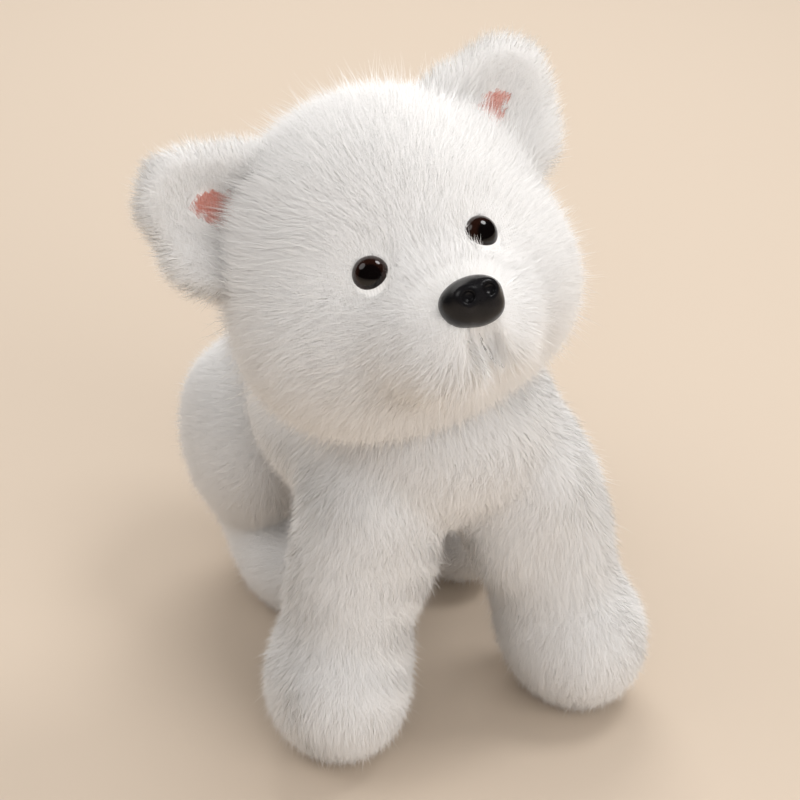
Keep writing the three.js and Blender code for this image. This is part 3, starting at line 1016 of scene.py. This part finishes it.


# Two points along each limb, in the dog's axes.
BENDS = {
    "leg_front": ((0, 4, 84), (0, 4, 58)),
    "leg_hind": ((0, 112, 56), (0, 112, 30)),
    "tail": (TAIL_ROOT + TAIL_AIM * (TAIL_START + 1), TAIL_ROOT + TAIL_AIM * (TAIL_START + 12)),
}


def attach_to_body(region):
    def attach(o):
        if region == "torso":
            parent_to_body(o, "torso")
            return
        start, end = BENDS[region.removesuffix("_left").removesuffix("_right")]
        tuple(to_row(np.array(start)))
        tuple(to_row(np.array(end)))
        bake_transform(o)

    return attach


def attach_to(body):
    return lambda o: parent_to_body(o, body)


def finish_soft(o, attach, slot, nodes):
    attach(o)
    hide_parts(*nodes)


def make_body():
    points, polygons = BODY_FORM.surface(PELT_DEPTH, GRAIN)
    points[:, 2] = np.maximum(points[:, 2], SOLE_HEIGHT)
    for number, own_points, own_polygons in split_by(points, polygons, body_region):
        region = REGIONS[number]
        pelt = new_mesh(f"pelt_{region}", to_row(own_points), own_polygons, [WHITE_KNIT])
        finish_soft(pelt, attach_to_body(region), "white_plush", [f"{region}_skin"])
        pile(
            f"pile_{region}",
            BODY_FORM,
            own_points,
            own_polygons,
            BODY_COAT,
            SEED + number,
            WHITE_PILE,
            attach_to_body(region),
            above_floor,
        )


def make_head():
    points, polygons = HEAD_FORM.surface(head_depth, HEAD_GRAIN)
    pelt = new_mesh("pelt_head", to_row(HEAD_PLACE.out(points)), polygons, [WHITE_KNIT])
    finish_soft(pelt, attach_to("head"), "white_plush", ["head_skin"])
    attach = attach_to("head")
    pile("pile_head", HEAD_FORM, points, polygons, HEAD_COAT, SEED + 20, WHITE_PILE, attach, clear_of_eyes)


def make_ears():
    for i, (side, sign) in enumerate(SIDES):
        form = EAR_FORMS[side]
        body = f"ear_{side}"
        attach = attach_to(body)
        points, polygons = form.surface(EAR_PELT_DEPTH, EAR_GRAIN)

        def part_of(middles, form=form, sign=sign):
            pink_share = in_pink(middles, unit(form.gradient(middles)), sign)
            return (pink_share <= PINK_KNIT_EDGE).astype(int)

        white_coat, pink_coat = ear_coats(sign)
        for number, own_points, own_polygons in split_by(points, polygons, part_of):
            part = ("back", "lining")[number]
            knit = (WHITE_KNIT, PINK_KNIT)[number]
            slot = ("white_plush", "pink_plush")[number]
            row_points = to_row(form.place.out(own_points))
            pelt = new_mesh(f"pelt_{body}_{part}", row_points, own_polygons, [knit])
            finish_soft(pelt, attach, slot, [f"{body}_{part}"])
        pile(f"pile_{body}", form, points, polygons, white_coat, SEED + 30 + i, WHITE_PILE, attach)
        pile(f"pile_{body}_lining", form, points, polygons, pink_coat, SEED + 40 + i, PINK_PILE, attach)


def dome(radius, height, rings=14, sides=48):
    """A dome on a flat base: its points, its polygons, and each point's share of the radius."""
    points = [(0, 0, height)]
    shares = [0.0]
    for i in range(1, rings + 1):
        polar = math.pi / 2 * i / rings
        for j in range(sides):
            turn = 2 * math.pi * j / sides
            r = radius * math.sin(polar)
            points.append((r * math.cos(turn), r * math.sin(turn), height * math.cos(polar)))
            shares.append(math.sin(polar))
    polygons = []
    for j in range(sides):
        k = (j + 1) % sides
        polygons.append((0, 1 + j, 1 + k))
        for i in range(rings - 1):
            upper = 1 + i * sides
            lower = upper + sides
            polygons.append((upper + j, lower + j, lower + k, upper + k))
    rim = 1 + (rings - 1) * sides
    polygons.append(tuple(rim + j for j in reversed(range(sides))))
    return np.array(points), polygons, shares


def make_eyes():
    points, polygons, shares = dome(EYE_RADIUS, EYE_HEIGHT)
    for side, _ in SIDES:
        place = EYE_PLACES[side].within(HEAD_PLACE)
        o = new_mesh(f"eye_dome_{side}", to_row(place.out(points)), polygons, [EYE_PLASTIC])
        share = o.data.attributes.new("radius", "FLOAT", "POINT")
        share.data.foreach_set("value", shares)
        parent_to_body(o, "head")
        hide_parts(f"eye_{side}")


# The nose's lists are in its own axes: X across, Y up, Z out of the face.
NOSE = [
    ((0, 1.2, 0), (10.6, 6.7, 8.8)),
    ((4.2, -3.2, 0), (5.6, 5.2, 7.4)),
    ((-3.8, -2.0, 0), (5.6, 5.0, 7.4)),
    ((0.5, -3.2, 0), (4.2, 4.8, 7.0)),
]
NOSTRILS = [(sign * 3.9, 2.0) for _, sign in SIDES]
NOSTRIL_RIMS = [((x, y, 6.6), (3.3, 3.2, 2.3)) for x, y in NOSTRILS]
NOSTRIL_HOLES = [((x, y, 8.9), (2.1, 2.0, 2.4)) for x, y in NOSTRILS]
NOSE_GRAIN = 0.45


def make_nose():
    place = NOSE_PLACE.within(HEAD_PLACE)
    form = Form(place, NOSE + NOSTRIL_RIMS, 1.3, cuts=NOSTRIL_HOLES, cut_softness=0.25)
    points, polygons = form.surface(0.0, NOSE_GRAIN)
    o = new_mesh("nose_pad", to_row(form.place.out(points)), polygons, [NOSE_PLASTIC])
    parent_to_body(o, "head")
    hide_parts("nose")


def on_face(x, z, depth):
    """The point of the face at x and z that lies depth mm below the tips of the pile."""
    outside, inside = -95.0, -45.0
    for _ in range(24):
        y = (outside + inside) / 2
        if HEAD_FORM.field(np.array([[x, y, z]]))[0] > -depth:
            outside = y
        else:
            inside = y
    return (x, outside, z)


# The thread runs from the nose down through these points: x and z on the face, and its depth.
MOUTH_ROUTE = [
    (1.9, -17.0, 5.6),
    (2.3, -21.0, 5.6),
    (3.2, -25.0, 5.6),
    (4.6, -28.0, 4.2),
    (7.0, -31.6, 0.9),
    (9.8, -33.2, 4.8),
]
THREAD_RADIUS = 0.6


def make_mouth():
    """The mouth's thread: sunk between the tufts of the muzzle, and higher where it hooks sideways."""
    line = bpy.data.curves.new("mouth_thread", "CURVE")
    line.dimensions = "3D"
    line.bevel_depth = THREAD_RADIUS * MM
    line.bevel_resolution = 3
    spline = line.splines.new("NURBS")
    spline.points.add(len(MOUTH_ROUTE) - 1)
    for point, (x, z, depth) in zip(spline.points, MOUTH_ROUTE):
        point.co = (*to_row(HEAD_PLACE.out(on_face(x, z, depth))), 1)
    spline.use_endpoint_u = True
    spline.order_u = 4
    line.materials.append(THREAD)
    o = bpy.data.objects.new("mouth_thread", line)
    bpy.context.collection.objects.link(o)
    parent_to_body(o, "head")
    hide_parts("mouth_stitch")


FILLING_GRAIN = 4.0
FILLING_DEPTH = 8.5
HEAD_FILLING_DEPTH = 15.0
FILLING_STEPS = 40
FILLING_HEIGHT = SOLE_HEIGHT + 4
# The head's filling has a hollow of this radius for the neck disc, with this much room above the disc.
DISC_ROOM = 40.0
DISC_CLEARANCE = 2.0


def lumpy(depth, seed):
    """A depth rule for loose fibre: it lies under the pelt in soft lumps."""
    return lambda points: depth + 1.6 * waves(points, 20.0, seed)[:, 0]


def ball(centre, radius):
    return (tuple(centre), (radius, radius, radius))


def make_fillings():
    """Lumps of loose fibre inside each pelt, clear of the washers and the neck joint."""
    neck = unit(HEAD_CENTRE - NECK_BASE)
    limbs = {"tail": TAIL}
    for side, sign in SIDES:
        limbs[f"leg_front_{side}"] = from_side(FRONT_LEG, sign)
        limbs[f"leg_hind_{side}"] = from_side(HIND_LEG, sign)
    roots = [part for parts in limbs.values() for part in parts[:2]]
    forms = {body: Form(BODY, parts, 5.0) for body, parts in limbs.items()}
    forms["torso"] = Form(BODY, TORSO, 6.0, cuts=[*roots, ball(HEAD_CENTRE, HEAD_TO_STUD_END)])
    disc_room = ball(-neck @ HEAD_PLACE.turn * (DISC_DEPTH + DISC_ROOM - DISC_CLEARANCE), DISC_ROOM)
    forms["head"] = Form(HEAD_PLACE, HEAD, 7.0, cuts=[disc_room])
    for i, (body, form) in enumerate(sorted(forms.items())):
        depth = HEAD_FILLING_DEPTH if body == "head" else FILLING_DEPTH
        rule = lumpy(depth, SEED + 60 + i)
        points, polygons = form.surface(rule, FILLING_GRAIN, steps=FILLING_STEPS)
        points = form.place.out(points)
        points[:, 2] = np.maximum(points[:, 2], FILLING_HEIGHT)
        o = new_mesh(f"filling_{body}", to_row(points), polygons, [FIBRE])
        finish_soft(o, attach_to(body), "fibre_fill", [f"{body}_stuffing"])


def finish_cad_nodes():
    """Better materials for the CAD nodes whose shapes stay as they are."""
    looks = {
        "washer": NYLON,
        "neck": NYLON,
        "belly_closing_stitch": WHITE_THREAD,
    }
    for name, o in frame["nodes"].items():
        for word, m in looks.items():
            if word in name:
                o.data.materials.clear()
                o.data.materials.append(m)


def make_floor():
    size = FLOOR_HALF_SIZE
    data = bpy.data.meshes.new("floor")
    corners = [(-size, -size, 0), (size, -size, 0), (size, size, 0), (-size, size, 0)]
    data.from_pydata(corners, [], [(0, 1, 2, 3)])
    data.materials.append(principled("floor", FLOOR_COLOR, 0.9))
    o = bpy.data.objects.new("floor", data)
    bpy.context.collection.objects.link(o)


camera()
look()
lights()
make_floor()
make_body()
make_head()
make_ears()
make_eyes()
make_nose()
make_mouth()
make_fillings()
finish_cad_nodes()
